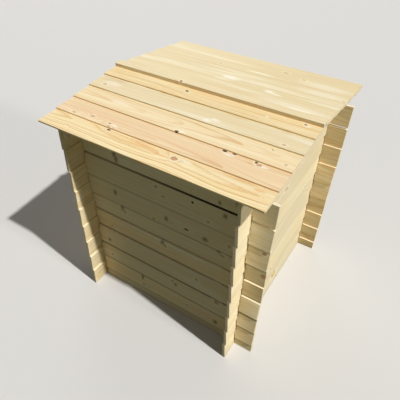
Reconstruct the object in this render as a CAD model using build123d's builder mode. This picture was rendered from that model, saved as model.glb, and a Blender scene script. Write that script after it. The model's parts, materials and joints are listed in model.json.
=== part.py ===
"""Beehive compost bin: notched spruce boards stacked log-cabin fashion under a lift-off lapped roof.

Millimetres, +Z up. The origin is on the ground, in the middle of the bin's outline.
The front faces -Y.
"""
from build123d import *
from collections import namedtuple
from math import cos, radians, sin, tan
import os

os.makedirs("parts", exist_ok=True)

# Board stock
board_width = 95.0
board_thickness = 12.0

# Walls: each board leans in, so its foot stands proud of the board below
wall_board_length = 900.0
fin_length = 89.0
lean = 6.0
notch_clearance = 1.2
courses = 8
course_gap = 2.0
turned_courses = (4, 5)
top_course_rise = 6.0

# Roof: lapped boards on two low slopes, its rear eave flush with the rear fins
roof_pitch = 6.5
roof_board_tilt = 3.82
roof_boards_per_slope = 5
roof_lap = 7.0
roof_front_reach = 16.0
roof_end_setback = 8.0
rebate_clearance = 0.5
ridge_gap = 3.0
roof_clearance = 0.3

# Ridge strip, laid on the front slope's top board
strip_width = 34.0
strip_thickness = 14.0
strip_over_front = 25.0

# Cleats under the roof boards, inside the side walls and above the end walls
cleat_thickness = 20.0
cleat_depth = 30.0
cleat_clearance = 6.0
cleat_over_wall = 7.2
cleat_eave_setback = 18.0

# Countersunk wood screws
screw_radius = 2.0
screw_head_radius = 4.0
screw_head_angle = 82.0
screw_hole_clearance = 0.1
cleat_screw_inset = 15.0
cleat_screw_bite = 7.2
ridge_screw_bite = 9.0
ridge_screw_count = 4
ridge_screw_margin = 52.0

# Walls, worked out
corner_reach = wall_board_length / 2 - fin_length
wall_middle = roof_front_reach / 2
course_pitch = board_width + course_gap
end_wall_top = (courses - 0.5) * course_pitch + board_width + top_course_rise

# Roof, worked out: the boards' cover is what fills each slope from the ridge to the eave
pitch = radians(roof_pitch)
tilt = radians(roof_board_tilt)
roof_board_length = wall_board_length - 2 * roof_end_setback
roof_half_depth = (wall_board_length + roof_front_reach) / 2
depth_beside_cover = (
    (ridge_gap + roof_lap * cos(tilt) - board_thickness * sin(tilt)) * cos(pitch)
    + (roof_lap * sin(tilt) + board_thickness * cos(tilt)) * sin(pitch)
)
depth_per_cover = (roof_boards_per_slope - 1 + cos(tilt)) * cos(pitch) + sin(tilt) * sin(pitch)
roof_cover = (roof_half_depth - depth_beside_cover) / depth_per_cover
roof_board_width = roof_cover + roof_lap
rebate_depth = board_thickness - roof_cover * sin(tilt)

# Cleats and screws, worked out
cleat_half_length = roof_half_depth - cleat_eave_setback
cleat_outer_face = corner_reach - (board_thickness + lean) / 2 - cleat_clearance
cleat_top_height = end_wall_top + cleat_over_wall + cleat_depth + cleat_half_length * tan(pitch)
roof_seat_height = cleat_top_height - roof_clearance
cleat_screw_length = cleat_depth * cos(pitch) + cleat_screw_inset * sin(tilt) + cleat_screw_bite
ridge_screw_inset = strip_over_front / 2
ridge_screw_length = board_thickness + ridge_screw_bite
screw_head_height = (screw_head_radius - screw_radius) / tan(radians(screw_head_angle / 2))
screw_hole_radius = screw_radius + screw_hole_clearance

Wall = namedtuple("Wall", "outward middle")
Course = namedtuple("Course", "name bottom top foot head neck_bottom neck_top")

UP = Vector(0, 0, 1)
walls = {
    "front": Wall(Vector(0, -1, 0), Vector(0, wall_middle - corner_reach, 0)),
    "rear": Wall(Vector(0, 1, 0), Vector(0, wall_middle + corner_reach, 0)),
    "left": Wall(Vector(-1, 0, 0), Vector(-corner_reach, wall_middle, 0)),
    "right": Wall(Vector(1, 0, 0), Vector(corner_reach, wall_middle, 0)),
}
END_WALLS = ("front", "rear")
SIDE_WALLS = ("left", "right")


def stack_courses():
    """Every course from the ground up: end-wall and side-wall boards by turns, half a pitch apart.

    A turned board leans out, so its foot stands back from the board below. The end walls' top
    boards stand upright and ride high in their notches, over an open gap.
    """
    quarter = course_pitch / 4
    stack = [Course("sill_board", 0, 2 * quarter - course_gap, 0, -lean / 2, 0, quarter)]
    for number in range(1, courses + 1):
        name = f"board_{number}"
        low = (number - 1) * course_pitch
        stack.append(
            Course(name, low, low + board_width, lean / 2, -lean / 2, low + quarter, low + 3 * quarter)
        )
        low += 2 * quarter
        foot = -1.5 * lean if number in turned_courses else lean / 2
        rise = 0
        if number == courses:
            foot = -lean / 2
            rise = top_course_rise
        stack.append(
            Course(
                name, low + rise, low + board_width + rise, foot, -lean / 2, low + quarter, low + 3 * quarter
            )
        )
    low = courses * course_pitch
    stack.append(
        Course("gable_board", low, roof_seat_height, lean / 2, -lean / 2, low + quarter, roof_seat_height)
    )
    return stack


def offset_at(course, height):
    """How far out the middle of a board's thickness stands at a height."""
    share = (height - course.bottom) / (course.top - course.bottom)
    return course.foot + share * (course.head - course.foot)


def cut_notch(wall, crossing_wall, crossing, low, high):
    """Cut the slot in which a board of the crossing wall lies."""
    reaches = [offset_at(crossing, crossing.neck_bottom), offset_at(crossing, crossing.neck_top)]
    width = max(reaches) - min(reaches) + board_thickness + 2 * notch_clearance
    across = 4 * (board_thickness + lean)
    centre = crossing_wall.middle + crossing_wall.outward * (sum(reaches) / 2)
    along_x = abs(crossing_wall.outward.X) > 0.5
    place = Vector(
        centre.X if along_x else wall.middle.X,
        wall.middle.Y if along_x else centre.Y,
        (low + high) / 2,
    )
    with Locations(place):
        Box(width if along_x else across, across if along_x else width, high - low, mode=Mode.SUBTRACT)


def roof_slope_plane(side):
    """Plane across the roof at the ridge: x runs down a slope, y stands square off it."""
    downhill = Vector(0, side * cos(pitch), -sin(pitch))
    return Plane(
        origin=(0, 0, cleat_top_height),
        x_dir=downhill,
        z_dir=Vector(side, 0, 0),
    )


def roof_board_plane(side, number):
    """Plane across a roof board: origin at the back of its upper edge, x down its back."""
    from_ridge = ridge_gap + (roof_boards_per_slope - number) * roof_cover
    slope = roof_slope_plane(side)
    down_its_back = slope.x_dir * cos(tilt) + slope.y_dir * sin(tilt)
    return Plane(slope.from_local_coords(Vector(from_ridge, 0, 0)), down_its_back, slope.z_dir)


def cleat_screw_planes(side, number, hands=(-1, 1)):
    """Planes at the heads of a roof board's cleat screws, facing down out of the cleats."""
    slope = roof_slope_plane(side)
    from_ridge = ridge_gap + (roof_boards_per_slope - number) * roof_cover + cleat_screw_inset
    underside = -cleat_depth * cos(pitch)
    middle = cleat_outer_face - cleat_thickness / 2
    planes = []
    for hand in hands:
        head = slope.from_local_coords(Vector(from_ridge, underside, 0)) + Vector(hand * middle, 0, 0)
        planes.append(Plane(head, x_dir=(1, 0, 0), z_dir=-slope.y_dir))
    return planes


def ridge_screw_planes():
    """Planes at the heads of the ridge strip's screws, facing down out of the front slope's top board."""
    board = roof_board_plane(-1, roof_boards_per_slope)
    first = -roof_board_length / 2 + ridge_screw_margin
    step = -2 * first / (ridge_screw_count - 1)
    planes = []
    for count in range(ridge_screw_count):
        head = board.from_local_coords(Vector(ridge_screw_inset, 0, 0)) + Vector(first + count * step, 0, 0)
        planes.append(Plane(head, x_dir=(1, 0, 0), z_dir=-board.y_dir))
    return planes


def screw(length):
    """A countersunk screw below each place, its head flush with the place's plane."""
    Cylinder(screw_radius, length, align=(Align.CENTER, Align.CENTER, Align.MAX))
    Cone(
        screw_radius,
        screw_head_radius,
        screw_head_height,
        align=(Align.CENTER, Align.CENTER, Align.MAX),
    )


def countersunk_hole(depth):
    """The hole that such a screw goes through."""
    CounterSinkHole(screw_hole_radius, screw_head_radius, depth, counter_sink_angle=screw_head_angle)


def save(piece, name):
    """Name a finished piece and write it."""
    piece.part.label = name
    export_step(piece.part, f"parts/{name}.step")


# Wall boards
stack = stack_courses()
for level, course in enumerate(stack):
    on_ends = level % 2 == 0
    for wall_name in END_WALLS if on_ends else SIDE_WALLS:
        wall = walls[wall_name]
        with BuildPart() as board:
            section_plane = Plane(wall.middle, x_dir=wall.outward, z_dir=wall.outward.cross(UP))
            half = board_thickness / 2
            with BuildSketch(section_plane):
                with BuildLine():
                    Polyline(
                        (course.foot - half, course.bottom),
                        (course.foot + half, course.bottom),
                        (course.head + half, course.top),
                        (course.head - half, course.top),
                        close=True,
                    )
                make_face()
            extrude(amount=wall_board_length / 2, both=True)
            for crossing_name in SIDE_WALLS if on_ends else END_WALLS:
                crossing_wall = walls[crossing_name]
                if course.neck_bottom > course.bottom:
                    cut_notch(wall, crossing_wall, stack[level - 1], course.bottom, course.neck_bottom)
                if course.neck_top < course.top:
                    cut_notch(wall, crossing_wall, stack[level + 1], course.neck_top, course.top)
            if course.name == "gable_board":
                for side in (-1, 1):
                    seat_normal = Vector(0, side * sin(pitch), cos(pitch))
                    split(bisect_by=Plane((0, 0, roof_seat_height), z_dir=seat_normal), keep=Keep.BOTTOM)
        save(board, f"{wall_name}_{course.name}")

# Roof boards, numbered from the eave up
slopes = {"front": -1, "rear": 1}
for slope_name, side in slopes.items():
    for number in range(1, roof_boards_per_slope + 1):
        lap_shoulder = roof_cover - rebate_clearance
        with BuildPart() as roof_board:
            with BuildSketch(roof_board_plane(side, number)):
                with BuildLine():
                    Polyline(
                        (0, 0),
                        (lap_shoulder, 0),
                        (lap_shoulder, rebate_depth),
                        (roof_board_width, rebate_depth),
                        (roof_board_width, board_thickness),
                        (0, board_thickness),
                        close=True,
                    )
                make_face()
            extrude(amount=roof_board_length / 2, both=True)
            with Locations(*cleat_screw_planes(side, number)):
                Cylinder(
                    screw_hole_radius,
                    cleat_screw_length,
                    align=(Align.CENTER, Align.CENTER, Align.MAX),
                    mode=Mode.SUBTRACT,
                )
            if slope_name == "front" and number == roof_boards_per_slope:
                with Locations(*ridge_screw_planes()):
                    countersunk_hole(2 * board_thickness)
        save(roof_board, f"{slope_name}_roof_board_{number}")

# Ridge strip
with BuildPart() as ridge_strip:
    with BuildSketch(roof_board_plane(-1, roof_boards_per_slope)):
        with BuildLine():
            Polyline(
                (strip_over_front, board_thickness),
                (strip_over_front, board_thickness + strip_thickness),
                (strip_over_front - strip_width, board_thickness + strip_thickness),
                (strip_over_front - strip_width, board_thickness),
                close=True,
            )
        make_face()
    extrude(amount=roof_board_length / 2, both=True)
    with Locations(*ridge_screw_planes()):
        Cylinder(
            screw_hole_radius,
            ridge_screw_length,
            align=(Align.CENTER, Align.CENTER, Align.MAX),
            mode=Mode.SUBTRACT,
        )
save(ridge_strip, "ridge_strip")

# Roof cleats
for hand_name, hand in {"left": -1, "right": 1}.items():
    end_height = cleat_top_height - cleat_half_length * tan(pitch)
    with BuildPart() as cleat:
        with BuildSketch(Plane.YZ.offset(hand * (cleat_outer_face - cleat_thickness / 2))):
            with BuildLine():
                Polyline(
                    (-cleat_half_length, end_height),
                    (-cleat_half_length, end_height - cleat_depth),
                    (0, cleat_top_height - cleat_depth),
                    (cleat_half_length, end_height - cleat_depth),
                    (cleat_half_length, end_height),
                    (0, cleat_top_height),
                    close=True,
                )
            make_face()
        extrude(amount=cleat_thickness / 2, both=True)
        for side in slopes.values():
            for number in range(1, roof_boards_per_slope + 1):
                with Locations(*cleat_screw_planes(side, number, (hand,))):
                    countersunk_hole(2 * cleat_depth)
    save(cleat, f"{hand_name}_roof_cleat")

# Screws
with BuildPart() as roof_screws:
    for side in slopes.values():
        for number in range(1, roof_boards_per_slope + 1):
            with Locations(*cleat_screw_planes(side, number)):
                screw(cleat_screw_length)
save(roof_screws, "roof_screws")

with BuildPart() as ridge_screws:
    with Locations(*ridge_screw_planes()):
        screw(ridge_screw_length)
save(ridge_screws, "ridge_screws")
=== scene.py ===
"""Looks of a timber compost bin with a lift-off roof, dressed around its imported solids."""

import json
import math
import random

import bpy
from mathutils import Matrix, Vector


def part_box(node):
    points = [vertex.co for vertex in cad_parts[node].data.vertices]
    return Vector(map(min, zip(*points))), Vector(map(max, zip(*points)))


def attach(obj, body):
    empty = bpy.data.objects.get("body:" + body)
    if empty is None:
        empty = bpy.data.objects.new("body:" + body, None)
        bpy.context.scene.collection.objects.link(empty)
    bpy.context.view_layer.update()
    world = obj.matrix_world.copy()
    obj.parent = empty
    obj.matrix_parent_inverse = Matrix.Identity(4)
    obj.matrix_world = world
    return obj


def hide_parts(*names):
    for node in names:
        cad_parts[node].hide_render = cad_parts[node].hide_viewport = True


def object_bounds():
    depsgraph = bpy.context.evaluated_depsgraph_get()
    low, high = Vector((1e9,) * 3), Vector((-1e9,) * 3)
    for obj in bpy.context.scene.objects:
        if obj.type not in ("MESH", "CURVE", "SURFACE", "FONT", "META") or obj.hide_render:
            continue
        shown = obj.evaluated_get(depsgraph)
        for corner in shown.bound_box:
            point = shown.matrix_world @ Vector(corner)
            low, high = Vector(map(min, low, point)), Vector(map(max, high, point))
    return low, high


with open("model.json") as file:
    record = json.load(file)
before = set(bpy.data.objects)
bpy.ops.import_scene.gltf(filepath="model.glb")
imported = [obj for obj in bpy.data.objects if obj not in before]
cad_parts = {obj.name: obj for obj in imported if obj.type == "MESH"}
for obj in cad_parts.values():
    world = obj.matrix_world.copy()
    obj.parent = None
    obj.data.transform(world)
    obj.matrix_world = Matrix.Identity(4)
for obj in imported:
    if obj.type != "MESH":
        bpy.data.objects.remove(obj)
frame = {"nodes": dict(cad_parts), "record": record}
solid_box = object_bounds()

# Picture and camera, in pixels, metres and radians.
PICTURE_SIZE = 400
FOCAL_LENGTH_PIXELS = 414.2
VIEW_CENTRE_RIGHT_PIXELS = -10.2
VIEW_CENTRE_DOWN_PIXELS = 18.8
SENSOR_WIDTH_MM = 36.0
CAMERA_PLACE = (0.7229, -1.2641, 1.6332)
CAMERA_TURN = 0.5743
CAMERA_DIP = 0.7530
CAMERA_ROLL = 0.0043

# Studio: a far key lamp and a low side lamp to the right of the bin, a broad low lamp behind it on the
# left, an even pale surround and a pale floor. Colours are seen colours from 0 to 255, here and below.
KEY_DIRECTION = (0.600, -0.075, 0.797)
KEY_STRENGTH = 3.08
KEY_SPREAD = math.radians(1.5)
SIDE_DIRECTION = (0.944, -0.02, 0.33)
SIDE_STRENGTH = 0.76
SIDE_SPREAD = math.radians(4.0)
BACK_DIRECTION = (-0.62, 0.78, 0.02)
BACK_STRENGTH = 2.2
BACK_SPREAD = math.radians(40.0)
LAMP_DISTANCE = 5.0
SURROUND_STRENGTH = 0.11
SURROUND_SEEN = (222, 221, 218)
FLOOR_SIZE = 24.0
FLOOR_DROP = 0.0006
FLOOR_ROUGHNESS = 0.9
FLOOR_SEEN = (216, 214, 210)
FLOOR_BOUNCE = (84, 90, 64)

# Timber pieces: copies of the solids, with faces that lie flat together joined and sharp edges eased.
MM = 0.001
MERGE_DISTANCE = 0.00001
FLAT_ANGLE = math.radians(1.0)
ARRIS_ANGLE = math.radians(40.0)
ARRIS_WIDTH = 0.0012
ARRIS_STEPS = 2

# Walls: the two end walls, under the eaves, the way each wall faces along its own axis, and about how
# far from the bin's middle the inside of a crossing wall lies.
END_WALLS = ("front", "rear")
OUTWARD = {"front": -1, "rear": 1, "left": -1, "right": 1}
CORNER = 0.352

# Each tone of timber: early wood, late wood, warm streak and bleached streak, and how strongly its
# grain shows.
TONES = {
    "yellow": ((248, 228, 180), (223, 181, 116), (243, 206, 142), (252, 240, 206), 1.05),
    "pink": ((245, 221, 178), (224, 182, 136), (238, 199, 156), (251, 236, 204), 0.8),
    "cream": ((247, 229, 186), (227, 191, 138), (240, 206, 158), (252, 241, 211), 0.85),
    "pale": ((239, 224, 185), (223, 198, 150), (233, 208, 163), (248, 239, 212), 0.6),
    "honey": ((246, 225, 174), (221, 175, 110), (240, 199, 134), (251, 238, 200), 1.2),
    "straw": ((231, 215, 172), (217, 190, 140), (227, 201, 150), (247, 240, 212), 0.6),
    "ashen": ((230, 216, 180), (214, 192, 150), (223, 201, 160), (248, 239, 214), 0.7),
}
TONE_OF = {
    "front_roof_board_1": "yellow",
    "front_roof_board_2": "pink",
    "front_roof_board_3": "cream",
    "front_roof_board_4": "pale",
    "front_roof_board_5": "honey",
    "ridge_strip": "pale",
    **{f"rear_roof_board_{number}": "straw" for number in range(1, 6)},
}
WALL_TONES = {
    "front": ("cream", "pale", "pale"),
    "rear": ("yellow", "cream", "cream"),
    "left": ("cream", "cream", "yellow"),
    "right": ("ashen", "ashen", "pale"),
}

# Random patterns, shifted for each board by a draw: grains to the metre, along, across and through a
# board or on the three axes of the screws, then detail and roughness. The bands of strong and weak years
# have grains to the year.
PATTERN_SHIFT = (-20, 20)
KNOT_RAGGEDNESS = ((130.0, 170.0, 130.0), 3.0, 0.6)
HEART_WANDERING = ((1.5, 4.0, 4.0), 1.0, 0.5)
RING_RIPPLES = ((6.0, 30.0, 30.0), 2.0, 0.5)
FIBRES = ((16.0, 1000.0, 1000.0), 2.0, 0.6)
FINE_LINES = ((2.2, 120.0, 120.0), 2.0, 0.6)
STREAKS = ((1.4, 24.0, 24.0), 2.0, 0.55)
PATCHES = ((3.0, 9.0, 9.0), 1.0, 0.5)
YEAR_BANDS = (0.42, 2.0, 0.55)
ZINC_CLOUDS = ((420.0, 420.0, 420.0), 3.0, 0.5)
ZINC_MARKS = ((300.0, 300.0, 6000.0), 2.0, 0.5)

# Rings, in metres: how far the heart lies beside a board's middle and before or behind it, the slope of
# the rings along the board, the width of a year, how far the heart wanders and the rings ripple and turn
# aside for a knot, and the radii from a knot where they turn aside by half as much.
HEART_ASIDE = (-0.05, 0.05)
HEART_BEHIND = (0.015, 0.06)
RING_SLOPE = (-0.025, 0.025)
YEAR_WIDTH = (0.0036, 0.0058)
HEART_WANDER = 0.09
RING_RIPPLE = 0.005
KNOT_SWERVE = 0.010
SWERVE_RADII = 2.0
# Boards whose rings are given one by one: where the heart lies across the board, how far behind it, the
# slope of the rings and the width of a year.
FIGURES = {
    "front_roof_board_1": (-0.385, 0.045, 0.012, 0.0060),
    "front_roof_board_5": (0.050, 0.030, 0.002, 0.0073),
}

# Grain: the parts of a year where the late wood starts and ends, the tones that make a year a strong
# one, and the shade that each adds. Weak grain falls back to the plain shade.
LATE_WOOD_START = (0.50, 0.92)
LATE_WOOD_END = (1.0, 0.95)
STRONG_YEARS = (0.42, 0.66)
STRONG_YEAR_SHADE = 0.30
LATE_WOOD_SHADE = 0.42
STRONG_LATE_WOOD_SHADE = 0.42
FIBRE_SHADE = 0.34
PLAIN_SHADE = 0.28

# Tints over the grain: the tone of a pattern where each starts and where it is full, and its strength.
WARM_STREAKS = (0.50, 0.72, 0.45)
BLEACHED_STREAKS = (0.46, 0.26, 0.60)
WARM_LINES = (0.54, 0.70, 0.35)
BLEACHED_LINES = (0.44, 0.28, 0.45)
WARM_PATCHES = (0.55, 0.80, 0.30)

# Faces of a board, told by how squarely they look outwards, upwards or along the grain.
OUTER_FACE = (0.3, 0.8)
HEAD_FACE = (0.5, 0.8)
END_FACE = (0.6, 0.85)
END_GRAIN_EARLY = (234, 217, 184)
END_GRAIN_LATE = (208, 182, 144)
END_GRAIN_STRENGTH = 0.8

# Sawn edges of the wall boards are bleached: how far in from the edge that starts and where it is full.
SAWN_EDGE_START = 0.0030
SAWN_EDGE_FULL = 0.0004
SAWN_EDGE_STRENGTH = 0.5

# The ends of the wall boards stand out at the corners, and there they carry painted light: a warm pale
# tone.
FIN_PAINTED_LIGHT = (254, 238, 196)
FIN_SLOPE = 0.020
FIN_STRENGTH = 0.9

# Painted shade along the joints of the walls, where the laps and the gaps shade them, on the face of a
# board at its head or
# its foot: its strength and its reach by course, and the share of the reach where it is full.
JOINT_PAINTED_SHADE = (100, 76, 46)
JOINT_FULL_SHARE = 0.25
END_HEAD_SHADE_LINES = {
    "sill_board": (0.48, 0.018),
    "board_1": (0.85, 0.018),
    "board_2": (0.95, 0.022),
    "board_5": (0.55, 0.018),
    "board_6": (0.32, 0.018),
    "board_7": (0.65, 0.004),
}
END_FOOT_SHADE_LINES = {
    "board_4": (0.75, 0.008),
    "board_5": (0.42, 0.008),
}
SIDE_HEAD_SHADE_LINE = (0.32, 0.018)

# Painted shade on the head of the end walls' board under the open gap, between the corners, deeper to the
# right.
GAP_PAINTED_SHADE = (58, 46, 26)
GAP_COURSE = "board_7"
GAP_END_SLOPE = 0.010
GAP_DEEPENS = (-0.30, 0.25)

# Relief, as shares of its depth, and gloss.
RELIEF_STRENGTH = 0.35
RELIEF_DEPTH = 0.0006
FIBRE_RELIEF = 0.5
LATE_WOOD_RELIEF = 0.25
END_FIBRE_RELIEF = 0.5
KNOT_SINK = 0.6
ROUGHNESS = 0.56
PATCH_ROUGHNESS = 0.16
EDGE_ROUGHNESS = 0.08
END_ROUGHNESS = 0.12
TIMBER_SPECULAR = 0.12

# Zinc plate of the screws.
ZINC_BLUISH = (186, 190, 196)
ZINC_STRAW = (204, 200, 184)
ZINC_STRAW_CLOUDS = (0.35, 0.7)
ZINC_ROUGHNESS = 0.30
ZINC_CLOUD_ROUGHNESS = 0.2
ZINC_MARK_STRENGTH = 0.25
ZINC_MARK_DEPTH = 0.00005

# Knots and marks by board: place along and across the board, half length, half width (mm), and kind.
# A swirl turns the rings aside and isn't painted.
KNOTS = {
    "front_roof_board_1": (
        (98, -391, 11, 8, "red"),
        (-185, -374, 7, 4, "dark"),
        (-30, -383, 44, 5, "stain"),
        (60, -398, 34, 4, "stain"),
        (392, -388, 18, 6, "stain"),
        (-330, -425, 4, 3, "faint"),
        (140, -384, 26, 6, "pale"),
        (310, -384, 110, 13, "swirl"),
        (-120, -378, 60, 12, "swirl"),
    ),
    "front_roof_board_2": (
        (-200, -349, 6, 4, "red"),
        (-194, -364, 8, 4, "faint"),
        (-361, -358, 8, 4, "faint"),
        (-284, -344, 9, 5, "faint"),
        (218, -282, 8, 4, "dark"),
        (251, -280, 7, 3, "dark"),
        (236, -293, 22, 6, "pale"),
        (329, -284, 5, 4, "dark"),
        (341, -290, 9, 6, "red"),
        (357, -294, 20, 5, "pale"),
        (316, -296, 14, 4, "stain"),
        (-180, -352, 24, 6, "pale"),
    ),
    "front_roof_board_3": (
        (30, -276, 7, 4, "dark"),
        (44, -270, 22, 6, "pale"),
        (412, -255, 5, 4, "faint"),
        (347, -207, 3, 2, "dark"),
        (-250, -230, 50, 9, "bloom"),
    ),
    "front_roof_board_4": (
        (-387, -159, 8, 5, "faint"),
        (368, -173, 7, 4, "faint"),
        (-360, -140, 40, 18, "bloom"),
        (85, -176, 16, 12, "pale"),
        (110, -160, 22, 8, "pale"),
    ),
    "front_roof_board_5": (
        (-76, -52, 7, 5, "dark"),
        (386, -41, 5, 3, "dark"),
        (256, -62, 9, 6, "pale"),
        (394, -46, 16, 6, "pale"),
    ),
    "ridge_strip": (
        (-122, -22, 5, 5, "dark"),
        (-140, -25, 10, 4, "stain"),
    ),
    "rear_roof_board_1": (
        (138, 385, 10, 6, "red"),
    ),
    "rear_roof_board_2": (
        (-132, 302, 4, 3, "dark"),
        (232, 346, 8, 5, "faint"),
        (60, 300, 60, 7, "pale"),
        (330, 326, 120, 30, "bloom"),
    ),
    "rear_roof_board_3": (
        (432, 227, 5, 4, "faint"),
        (350, 240, 110, 26, "bloom"),
    ),
    "rear_roof_board_4": (
        (-8, 160, 44, 17, "pale"),
        (-30, 132, 40, 8, "bloom"),
        (176, 130, 22, 13, "pale"),
        (206, 120, 26, 6, "pale"),
        (200, 168, 300, 9, "bloom"),
    ),
    "rear_roof_board_5": (
        (330, 40, 50, 6, "pale"),
        (300, 52, 150, 22, "bloom"),
    ),
    "front_board_8": (
        (-196, 776, 7, 17, "smudge"),
        (-189, 753, 6, 14, "smudge"),
        (251, 750, 5, 7, "smudge"),
    ),
    "front_board_7": (
        (147, 703, 5, 5, "dark"),
        (276, 704, 7, 8, "smudge"),
        (23, 673, 10, 4, "faint"),
        (-10, 704, 7, 7, "faint"),
        (213, 648, 7, 5, "faint"),
    ),
    "front_board_6": (
        (-215, 585, 6, 11, "smudge"),
        (-26, 541, 7, 7, "faint"),
        (32, 571, 6, 9, "smudge"),
        (122, 562, 10, 4, "dark"),
        (204, 556, 10, 8, "smudge"),
        (302, 574, 6, 8, "faint"),
        (431, 612, 7, 5, "red"),
    ),
    "front_board_5": (
        (-190, 510, 8, 14, "smudge"),
        (-182, 492, 6, 8, "faint"),
        (263, 519, 9, 12, "smudge"),
        (275, 504, 9, 8, "faint"),
        (442, 497, 12, 13, "faint"),
    ),
    "front_board_4": (
        (5, 418, 9, 11, "smudge"),
        (15, 404, 7, 7, "faint"),
        (-273, 367, 5, 6, "faint"),
    ),
    "front_board_3": (
        (-331, 269, 12, 4, "stain"),
        (-294, 273, 8, 7, "smudge"),
        (170, 300, 8, 6, "faint"),
    ),
    "front_board_2": (
        (-325, 164, 13, 4, "stain"),
        (-292, 176, 7, 6, "faint"),
        (48, 208, 7, 8, "faint"),
        (63, 195, 7, 8, "smudge"),
        (268, 217, 12, 11, "faint"),
    ),
    "front_board_1": (
        (-122, 120, 6, 14, "smudge"),
        (-118, 72, 6, 8, "faint"),
        (271, 79, 9, 9, "smudge"),
        (125, 92, 6, 5, "faint"),
    ),
    "right_board_7": (
        (-37, 643, 13, 5, "red"),
        (113, 664, 8, 4, "faint"),
    ),
    "right_board_6": (
        (217, 489, 6, 4, "faint"),
    ),
    "right_board_5": (
        (266, 432, 6, 8, "faint"),
    ),
    "right_board_1": (
        (34, 72, 19, 23, "amber"),
        (70, 22, 4, 4, "dark"),
    ),
}
# Boards with no knots listed get a few at random: how many, their kinds, half length (mm), width as a
# share of the length, and how far they stay from the board's ends (m).
RANDOM_KNOTS = (0, 3)
RANDOM_KNOT_KINDS = ("dark", "red", "red", "faint", "faint", "faint")
RANDOM_KNOT_LENGTH = (4.0, 9.0)
RANDOM_KNOT_SLIMNESS = (0.6, 0.95)
RANDOM_KNOT_MARGIN = 0.12

# Round knots by kind: colours and strengths of the pale halo, the rim and the core. Then where each of
# these starts and where it is full, in radii from the middle, and the rings in the core.
ROUND_KNOTS = {
    "faint": (((250, 238, 207), 0.35), ((192, 152, 102), 0.60), ((202, 162, 110), 0.55)),
    "amber": (((250, 238, 207), 0.35), ((158, 116, 72), 0.80), ((238, 207, 134), 0.90)),
    "red": (((251, 238, 206), 0.45), ((170, 122, 86), 0.80), ((216, 166, 126), 0.85)),
    "dark": (((250, 236, 204), 0.40), ((108, 72, 36), 0.90), ((60, 36, 14), 0.90)),
}
KNOT_HALO = (3.4, 1.2)
KNOT_RIM = (1.30, 0.85)
KNOT_CORE = (0.95, 0.45)
CORE_RINGS_PER_RADIUS = 3.0
CORE_RING = (0.55, 0.95)
CORE_RING_STRENGTH = 0.35

# Soft marks by kind: colour, strength and reach in radii. They are full near the middle.
SOFT_MARKS = {
    "pale": ((253, 248, 230), 0.70, 1.35),
    "bloom": ((252, 245, 224), 0.42, 1.4),
    "stain": ((236, 172, 108), 0.60, 1.6),
    "smudge": ((112, 82, 36), 0.72, 2.1),
}
SOFT_MARK_FULL = 0.25


def seen(colour):
    """A seen colour from 0 to 255 as the linear colour that Blender works in, by the sRGB curve."""
    linear = []
    for level in colour:
        part = level / 255.0
        if part <= 0.04045:
            linear.append(part / 12.92)
        else:
            linear.append(((part + 0.055) / 1.055) ** 2.4)
    return (linear[0], linear[1], linear[2], 1.0)


class Value:
    """A socket of a material; arithmetic on it adds Math nodes."""

    def __init__(self, finish, socket):
        self.finish = finish
        self.socket = socket

    def math(self, operation, first, second=0.0):
        return self.finish.add("ShaderNodeMath", {"operation": operation}, {0: first, 1: second})

    def __add__(self, other):
        return self.math("ADD", self, other)

    def __radd__(self, other):
        return self.math("ADD", other, self)

    def __sub__(self, other):
        return self.math("SUBTRACT", self, other)

    def __rsub__(self, other):
        return self.math("SUBTRACT", other, self)

    def __mul__(self, other):
        return self.math("MULTIPLY", self, other)

    def __rmul__(self, other):
        return self.math("MULTIPLY", other, self)

    def __truediv__(self, other):
        return self.math("DIVIDE", self, other)

    def __rtruediv__(self, other):
        return self.math("DIVIDE", other, self)

    def __pow__(self, other):
        return self.math("POWER", self, other)

    def __mod__(self, other):
        return self.math("FLOORED_MODULO", self, other)

    def __abs__(self):
        return self.math("ABSOLUTE", self)

    def least(self, other):
        return self.math("MINIMUM", self, other)


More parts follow.
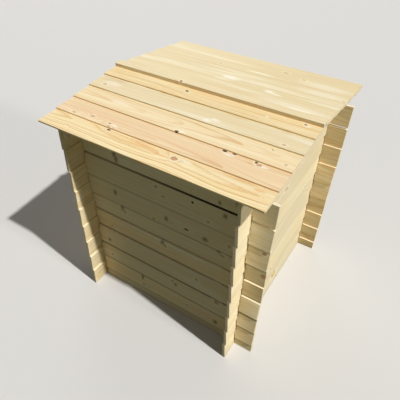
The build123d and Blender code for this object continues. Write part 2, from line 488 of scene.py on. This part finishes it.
class Finish:
    """A material, or the studio's surround, being made: its nodes and its surface."""

    def __init__(self, owner):
        self.owner = owner
        self.owner.use_nodes = True
        self.tree = self.owner.node_tree
        self.tree.nodes.clear()

    def add(self, kind, settings=None, inputs=None, output=0):
        """Adds a node, its settings first, then the values or links of its sockets."""
        node = self.tree.nodes.new(kind)
        for name, setting in (settings or {}).items():
            setattr(node, name, setting)
        for name, given in (inputs or {}).items():
            if isinstance(given, Value):
                self.tree.links.new(given.socket, node.inputs[name])
            else:
                node.inputs[name].default_value = given
        if output is None:
            return node
        return Value(self, node.outputs[output])

    def mix(self, factor, first, second):
        """A colour between two colours."""
        settings = {"data_type": "RGBA", "blend_type": "MIX"}
        return self.add("ShaderNodeMix", settings, {0: factor, 6: first, 7: second}, 2)

    def rise(self, value, start, end):
        """0 below start, 1 above end, with a soft slope between; turned round where end is lower."""
        settings = {"interpolation_type": "SMOOTHSTEP"}
        inputs = {"Value": value, "From Min": start, "From Max": end}
        return self.add("ShaderNodeMapRange", settings, inputs)

    def tint(self, colour, other, value, tint, share=1.0):
        """A colour turned towards another where a value passes from a tint's start to its end."""
        start, end, strength = tint
        return self.mix(self.rise(value, start, end) * (strength * share), colour, other)

    def stretched(self, place, scale, shift=(0.0, 0.0, 0.0)):
        """A place stretched along its axes and moved."""
        inputs = {"Vector": place, "Location": shift, "Scale": scale}
        return self.add("ShaderNodeMapping", {"vector_type": "POINT"}, inputs)

    def noise(self, place, pattern, shift=(0.0, 0.0, 0.0)):
        """Soft random tone from 0 to 1 in a pattern, moved by a shift of its own."""
        grains, detail, roughness = pattern
        stretched = self.stretched(place, grains, shift)
        inputs = {"Vector": stretched, "Scale": 1.0, "Detail": detail, "Roughness": roughness}
        return self.add("ShaderNodeTexNoise", {"noise_dimensions": "3D"}, inputs)

    def relief(self, height, strength, depth):
        """The normal of a surface with a fine relief."""
        return self.add("ShaderNodeBump", None, {"Strength": strength, "Distance": depth, "Height": height})

    def close(self, constants, inputs):
        """The surface: constants on the shader's own sockets, and what changes over it."""
        surface = self.add("ShaderNodeBsdfPrincipled", None, {**constants, **inputs})
        self.add("ShaderNodeOutputMaterial", None, {"Surface": surface}, None)
        return self.owner


def board_axes(node):
    """The axes along a board's grain, across its width and through its thickness."""
    if "roof_board" in node or node == "ridge_strip":
        return "XYZ"
    if node.startswith(("left", "right")):
        return "YZX"
    return "XZY"


def board_span(node, part):
    """The lowest and highest place of a board along one of its own axes, 0 being the grain's."""
    axis = "XYZ".index(board_axes(node)[part])
    low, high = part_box(node)
    return low[axis], high[axis]


def is_wall_board(node):
    """Whether a board is one of the walls, and not of the roof."""
    return node.partition("_")[0] in WALL_TONES and "roof" not in node


def along_board(finish, vector, node):
    """The parts of a vector along a board's grain, across its width and through its thickness."""
    parts = []
    for axis in board_axes(node):
        parts.append(finish.add("ShaderNodeSeparateXYZ", None, {"Vector": vector}, axis))
    return parts


def board_knots(node, draw):
    """The knots of a board: those listed, or a few of its own."""
    if node in KNOTS:
        return KNOTS[node]
    start, end = board_span(node, 0)
    foot, head = board_span(node, 1)
    knots = []
    for _ in range(draw.randint(*RANDOM_KNOTS)):
        length = draw.uniform(*RANDOM_KNOT_LENGTH)
        place_along = draw.uniform(start + RANDOM_KNOT_MARGIN, end - RANDOM_KNOT_MARGIN)
        place_across = draw.uniform(foot, head)
        kind = draw.choice(RANDOM_KNOT_KINDS)
        width = length * draw.uniform(*RANDOM_KNOT_SLIMNESS)
        knots.append((place_along / MM, place_across / MM, length, width, kind))
    return knots


def knot_distances(finish, grain, knots, ragged):
    """For each kind of knot or mark, the distance to the nearest one in its own radii."""
    nearest = {}
    for place_along, place_across, length, width, kind in knots:
        scale = (1.0 / (length * MM), 1.0 / (width * MM), 0.0)
        shift = (-place_along * MM * scale[0], -place_across * MM * scale[1], 0.0)
        place = finish.stretched(grain, scale, shift)
        distance = finish.add("ShaderNodeVectorMath", {"operation": "LENGTH"}, {0: place}, "Value")
        distance = distance + ragged
        if kind in nearest:
            nearest[kind] = nearest[kind].least(distance)
        else:
            nearest[kind] = distance
    return nearest


def ring_swerve(nearest):
    """How much the rings turn aside for the round knots and swirls near each spot, or None without any."""
    swerve = None
    for kind in (*ROUND_KNOTS, "swirl"):
        if kind in nearest:
            near = 1.0 / (1.0 + (nearest[kind] / SWERVE_RADII) ** 2.0)
            swerve = near if swerve is None else swerve + near
    return swerve


def growth_rings(finish, node, axes, grain, shift, swerve, draw):
    """Years of growth at each spot, round a heart before or behind the board that wanders along it."""
    middle_across = sum(board_span(node, 1)) / 2
    middle_through = sum(board_span(node, 2)) / 2
    heart_across = middle_across + draw.uniform(*HEART_ASIDE)
    heart_through = middle_through + draw.choice((-1, 1)) * draw.uniform(*HEART_BEHIND)
    slope = draw.uniform(*RING_SLOPE)
    year_width = draw.uniform(*YEAR_WIDTH)
    if node in FIGURES:
        heart_across, behind, slope, year_width = FIGURES[node]
        heart_through = middle_through - behind
    wandering = finish.noise(grain, HEART_WANDERING, shift)
    ripples = finish.noise(grain, RING_RIPPLES, shift)
    reach_across = axes[1] - heart_across + (wandering - 0.5) * HEART_WANDER
    reach_through = axes[2] - heart_through
    radius = (reach_across * reach_across + reach_through * reach_through) ** 0.5
    radius = radius + axes[0] * slope + ripples * RING_RIPPLE
    if swerve is not None:
        radius = radius + swerve * KNOT_SWERVE
    return radius / year_width


def late_wood(finish, years):
    """The late wood of each year, which darkens slowly and ends sharply."""
    year = years % 1.0
    return finish.rise(year, *LATE_WOOD_START) * finish.rise(year, *LATE_WOOD_END)


def grain_figure(finish, years, late, fibre, shift, boldness):
    """How far the colour of each spot lies from early to late wood; some years are stronger than others."""
    bands_per_year, detail, roughness = YEAR_BANDS
    place = years * bands_per_year + shift[0]
    inputs = {"W": place, "Scale": 1.0, "Detail": detail, "Roughness": roughness}
    bands = finish.add("ShaderNodeTexNoise", {"noise_dimensions": "1D"}, inputs)
    strong = finish.rise(bands, *STRONG_YEARS)
    late_shade = late * (LATE_WOOD_SHADE + strong * STRONG_LATE_WOOD_SHADE)
    figure = strong * STRONG_YEAR_SHADE + late_shade + (fibre - 0.5) * FIBRE_SHADE
    return figure * boldness + (1.0 - boldness) * PLAIN_SHADE


def joint_shade_lines(node):
    """Painted shade lines on a board's face, along its joints: the strength of each, where it starts and
    where it is full.
    """
    wall, _, course = node.partition("_")
    foot, head = board_span(node, 1)
    head_line = None
    foot_line = None
    if wall in END_WALLS:
        head_line = END_HEAD_SHADE_LINES.get(course)
        foot_line = END_FOOT_SHADE_LINES.get(course)
    elif wall in WALL_TONES and course.startswith("board"):
        head_line = SIDE_HEAD_SHADE_LINE
    lines = []
    if head_line is not None:
        strength, reach = head_line
        lines.append((strength, head - reach, head - reach * JOINT_FULL_SHARE))
    if foot_line is not None:
        strength, reach = foot_line
        lines.append((strength, foot + reach, foot + reach * JOINT_FULL_SHARE))
    return lines


def paint_joint_shade(finish, colour, node, axes, facing):
    """A board's colour with painted shade along its joints, and painted shade on its head under the open
    gap.
    """
    wall, _, course = node.partition("_")
    for strength, start, full in joint_shade_lines(node):
        line = finish.rise(axes[1], start, full)
        outside = finish.rise(facing[2] * OUTWARD[wall], *OUTER_FACE)
        colour = finish.mix(line * outside * strength, colour, seen(JOINT_PAINTED_SHADE))
    if wall in END_WALLS and course == GAP_COURSE:
        inside = finish.rise(abs(axes[0]), CORNER, CORNER - GAP_END_SLOPE)
        deeper = finish.rise(axes[0], *GAP_DEEPENS)
        head = finish.rise(facing[1], *HEAD_FACE)
        colour = finish.mix(head * inside * deeper, colour, seen(GAP_PAINTED_SHADE))
    return colour


def paint_knots(finish, colour, nearest):
    """Paints soft marks and round knots over a colour; gives the colour and how sunken the knots are."""
    sunken = None
    for kind, (mark_colour, strength, reach) in SOFT_MARKS.items():
        if kind in nearest:
            mark = finish.rise(nearest[kind], reach, SOFT_MARK_FULL)
            colour = finish.mix(mark * strength, colour, seen(mark_colour))
    for kind, (halo, rim, core) in ROUND_KNOTS.items():
        if kind in nearest:
            distance = nearest[kind]
            around = finish.rise(distance, *KNOT_HALO)
            edge = finish.rise(distance, *KNOT_RIM)
            inside = finish.rise(distance, *KNOT_CORE)
            ring = finish.rise((distance * CORE_RINGS_PER_RADIUS) % 1.0, *CORE_RING)
            colour = finish.mix(around * halo[1], colour, seen(halo[0]))
            colour = finish.mix(edge * rim[1], colour, seen(rim[0]))
            colour = finish.mix(inside * (core[1] - ring * CORE_RING_STRENGTH), colour, seen(core[0]))
            sunken = edge if sunken is None else sunken + edge
    return colour, sunken


def spruce(node):
    """Fresh planed spruce for one board: growth rings cut by its faces, knots, streaks, end grain."""
    draw = random.Random(node)
    wall = node.partition("_")[0]
    drawn_tone = draw.choice(WALL_TONES[wall]) if wall in WALL_TONES else None
    tone = TONES[TONE_OF.get(node, drawn_tone)]
    early, late, warm, bleached = (seen(colour) for colour in tone[:4])
    boldness = tone[4]
    finish = Finish(bpy.data.materials.new(node + "_spruce"))
    axes = along_board(finish, finish.add("ShaderNodeTexCoord", None, None, "Object"), node)
    facing = along_board(finish, finish.add("ShaderNodeNewGeometry", None, None, "Normal"), node)
    grain = finish.add("ShaderNodeCombineXYZ", None, dict(zip("XYZ", axes)))
    shift = tuple(draw.uniform(*PATTERN_SHIFT) for axis in axes)

    # Knots, and the rings that turn aside for them.
    ragged = finish.noise(grain, KNOT_RAGGEDNESS, shift) - 0.5
    nearest = knot_distances(finish, grain, board_knots(node, draw), ragged)
    years = growth_rings(finish, node, axes, grain, shift, ring_swerve(nearest), draw)
    late_line = late_wood(finish, years)
    fibre = finish.noise(grain, FIBRES, shift)
    figure = grain_figure(finish, years, late_line, fibre, shift, boldness)

    # Colour: rings, then warm and bleached streaks along the grain.
    ground = early
    # Painted light: the early wood turns to a warm pale tone at the ends that stand out at the corners.
    if is_wall_board(node):
        fin = finish.rise(abs(axes[0]), CORNER, CORNER + FIN_SLOPE)
        ground = finish.mix(fin * FIN_STRENGTH, early, seen(FIN_PAINTED_LIGHT))
    colour = finish.mix(figure, ground, late)
    streaks = finish.noise(grain, STREAKS, shift)
    lines = finish.noise(grain, FINE_LINES, shift)
    patches = finish.noise(grain, PATCHES, shift)
    colour = finish.tint(colour, warm, streaks, WARM_STREAKS)
    colour = finish.tint(colour, bleached, streaks, BLEACHED_STREAKS)
    colour = finish.tint(colour, warm, lines, WARM_LINES, boldness)
    colour = finish.tint(colour, bleached, lines, BLEACHED_LINES, boldness)
    colour = finish.tint(colour, warm, patches, WARM_PATCHES)

    # Sawn edges, painted shade along the joints and in the gap, end grain and knots.
    foot, head = board_span(node, 1)
    half_width = (head - foot) / 2
    from_middle = abs(axes[1] - (foot + head) / 2)
    edge = finish.rise(from_middle, half_width - SAWN_EDGE_START, half_width - SAWN_EDGE_FULL)
    if is_wall_board(node):
        colour = finish.mix(edge * SAWN_EDGE_STRENGTH, colour, bleached)
    colour = paint_joint_shade(finish, colour, node, axes, facing)
    end = finish.rise(abs(facing[0]), *END_FACE)
    end_colour = finish.mix(figure, seen(END_GRAIN_EARLY), seen(END_GRAIN_LATE))
    colour = finish.mix(end * END_GRAIN_STRENGTH, colour, end_colour)
    colour, sunken = paint_knots(finish, colour, nearest)

    # Relief and gloss.
    height = fibre * FIBRE_RELIEF + late_line * LATE_WOOD_RELIEF + end * fibre * END_FIBRE_RELIEF
    if sunken is not None:
        height = height - sunken * KNOT_SINK
    normal = finish.relief(height, RELIEF_STRENGTH, RELIEF_DEPTH)
    roughness = ROUGHNESS + patches * PATCH_ROUGHNESS + edge * EDGE_ROUGHNESS + end * END_ROUGHNESS
    return finish.close(
        {"Specular IOR Level": TIMBER_SPECULAR},
        {"Base Color": colour, "Roughness": roughness, "Normal": normal},
    )


def zinc():
    """Bright zinc plating, with faint bluish and straw clouds and fine turning marks."""
    finish = Finish(bpy.data.materials.new("zinc_plate"))
    place = finish.add("ShaderNodeTexCoord", None, None, "Object")
    clouds = finish.noise(place, ZINC_CLOUDS)
    marks = finish.noise(place, ZINC_MARKS)
    colour = finish.mix(finish.rise(clouds, *ZINC_STRAW_CLOUDS), seen(ZINC_BLUISH), seen(ZINC_STRAW))
    normal = finish.relief(marks, ZINC_MARK_STRENGTH, ZINC_MARK_DEPTH)
    roughness = ZINC_ROUGHNESS + clouds * ZINC_CLOUD_ROUGHNESS
    return finish.close({"Metallic": 1.0}, {"Base Color": colour, "Roughness": roughness, "Normal": normal})


def eased_piece(node, name):
    """A copy of a solid with its faces joined and its arrises eased."""
    bpy.ops.object.select_all(action="DESELECT")
    piece = bpy.data.objects.new(name, frame["nodes"][node].data.copy())
    bpy.context.scene.collection.objects.link(piece)
    bpy.context.view_layer.objects.active = piece
    piece.select_set(True)
    bpy.ops.object.mode_set(mode="EDIT")
    bpy.ops.mesh.select_all(action="SELECT")
    bpy.ops.mesh.remove_doubles(threshold=MERGE_DISTANCE)
    bpy.ops.mesh.dissolve_limited(angle_limit=FLAT_ANGLE)
    bpy.ops.object.mode_set(mode="OBJECT")
    arris = piece.modifiers.new("eased_arris", "BEVEL")
    arris.width = ARRIS_WIDTH
    arris.segments = ARRIS_STEPS
    arris.limit_method = "ANGLE"
    arris.angle_limit = ARRIS_ANGLE
    arris.harden_normals = True
    bpy.ops.object.modifier_apply(modifier=arris.name)
    return piece


def dress_board(node, body):
    """One board, cleat or strip in its own spruce."""
    piece = eased_piece(node, node + "_timber")
    piece.data.materials.clear()
    piece.data.materials.append(spruce(node))
    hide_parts(node)
    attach(piece, body)


def dress_screws(node, plate):
    """A group of screws in zinc plate, its solids kept."""
    for slot in frame["nodes"][node].material_slots:
        slot.material = plate


def set_camera():
    """A camera at the picture's viewing angle."""
    forward = Vector(
        (
            -math.sin(CAMERA_TURN) * math.cos(CAMERA_DIP),
            math.cos(CAMERA_TURN) * math.cos(CAMERA_DIP),
            -math.sin(CAMERA_DIP),
        )
    )
    level = Vector((math.cos(CAMERA_TURN), math.sin(CAMERA_TURN), 0.0))
    upright = level.cross(forward)
    side = level * math.cos(CAMERA_ROLL) + upright * math.sin(CAMERA_ROLL)
    head = upright * math.cos(CAMERA_ROLL) - level * math.sin(CAMERA_ROLL)
    bpy.ops.object.camera_add()
    camera = bpy.context.object
    camera.name = "picture_camera"
    turned = Matrix((side, head, -forward)).transposed().to_4x4()
    camera.matrix_world = Matrix.Translation(CAMERA_PLACE) @ turned
    camera.data.sensor_width = SENSOR_WIDTH_MM
    camera.data.lens = FOCAL_LENGTH_PIXELS * SENSOR_WIDTH_MM / PICTURE_SIZE
    camera.data.shift_x = -VIEW_CENTRE_RIGHT_PIXELS / PICTURE_SIZE
    camera.data.shift_y = VIEW_CENTRE_DOWN_PIXELS / PICTURE_SIZE
    bpy.context.scene.camera = camera


def hang_lamp(name, direction, strength, spread):
    """A lamp far off in a direction, as broad as its spread."""
    target = sum((Vector(corner) for corner in solid_box), Vector()) / 2
    bpy.ops.object.light_add(type="SUN", location=target + Vector(direction) * LAMP_DISTANCE)
    lamp = bpy.context.object
    lamp.name = name
    lamp.rotation_euler = Vector(direction).to_track_quat("Z", "Y").to_euler()
    lamp.data.energy = strength
    lamp.data.angle = spread


def looked_at(finish):
    """1 where a surface is looked at, straight, mirrored or through glass; 0 where it gives light."""
    rays = [
        finish.add("ShaderNodeLightPath", None, None, ray)
        for ray in ("Is Camera Ray", "Is Glossy Ray", "Is Transmission Ray")
    ]
    return (rays[0] + rays[1] + rays[2]).least(1.0)


def lay_floor():
    """A plain pale floor, seen pale and giving a dimmer olive light back to the bin."""
    bpy.ops.object.select_all(action="DESELECT")
    bpy.ops.mesh.primitive_plane_add(size=FLOOR_SIZE, location=(0.0, 0.0, -FLOOR_DROP))
    floor = bpy.context.object
    floor.name = "studio_floor"
    bpy.ops.object.transform_apply(location=True, rotation=True, scale=True)
    finish = Finish(bpy.data.materials.new("studio_floor"))
    colour = finish.mix(looked_at(finish), seen(FLOOR_BOUNCE), seen(FLOOR_SEEN))
    floor.data.materials.append(finish.close({"Roughness": FLOOR_ROUGHNESS}, {"Base Color": colour}))


def set_surround():
    """An even surround that lights the bin softly and looks pale."""
    finish = Finish(bpy.data.worlds.new("studio_surround"))
    soft_light = (SURROUND_STRENGTH, SURROUND_STRENGTH, SURROUND_STRENGTH, 1.0)
    colour = finish.mix(looked_at(finish), soft_light, seen(SURROUND_SEEN))
    glow = finish.add("ShaderNodeBackground", None, {"Color": colour, "Strength": 1.0})
    finish.add("ShaderNodeOutputWorld", None, {"Surface": glow}, None)
    bpy.context.scene.world = finish.owner


plate = zinc()
for body, nodes in frame["record"]["behaviour"]["bodies"].items():
    for node in nodes:
        if node.endswith("screws"):
            dress_screws(node, plate)
        else:
            dress_board(node, body)

bpy.context.scene.view_settings.view_transform = "Standard"
set_camera()
lay_floor()
hang_lamp("key_lamp", KEY_DIRECTION, KEY_STRENGTH, KEY_SPREAD)
hang_lamp("side_lamp", SIDE_DIRECTION, SIDE_STRENGTH, SIDE_SPREAD)
hang_lamp("back_lamp", BACK_DIRECTION, BACK_STRENGTH, BACK_SPREAD)
set_surround()
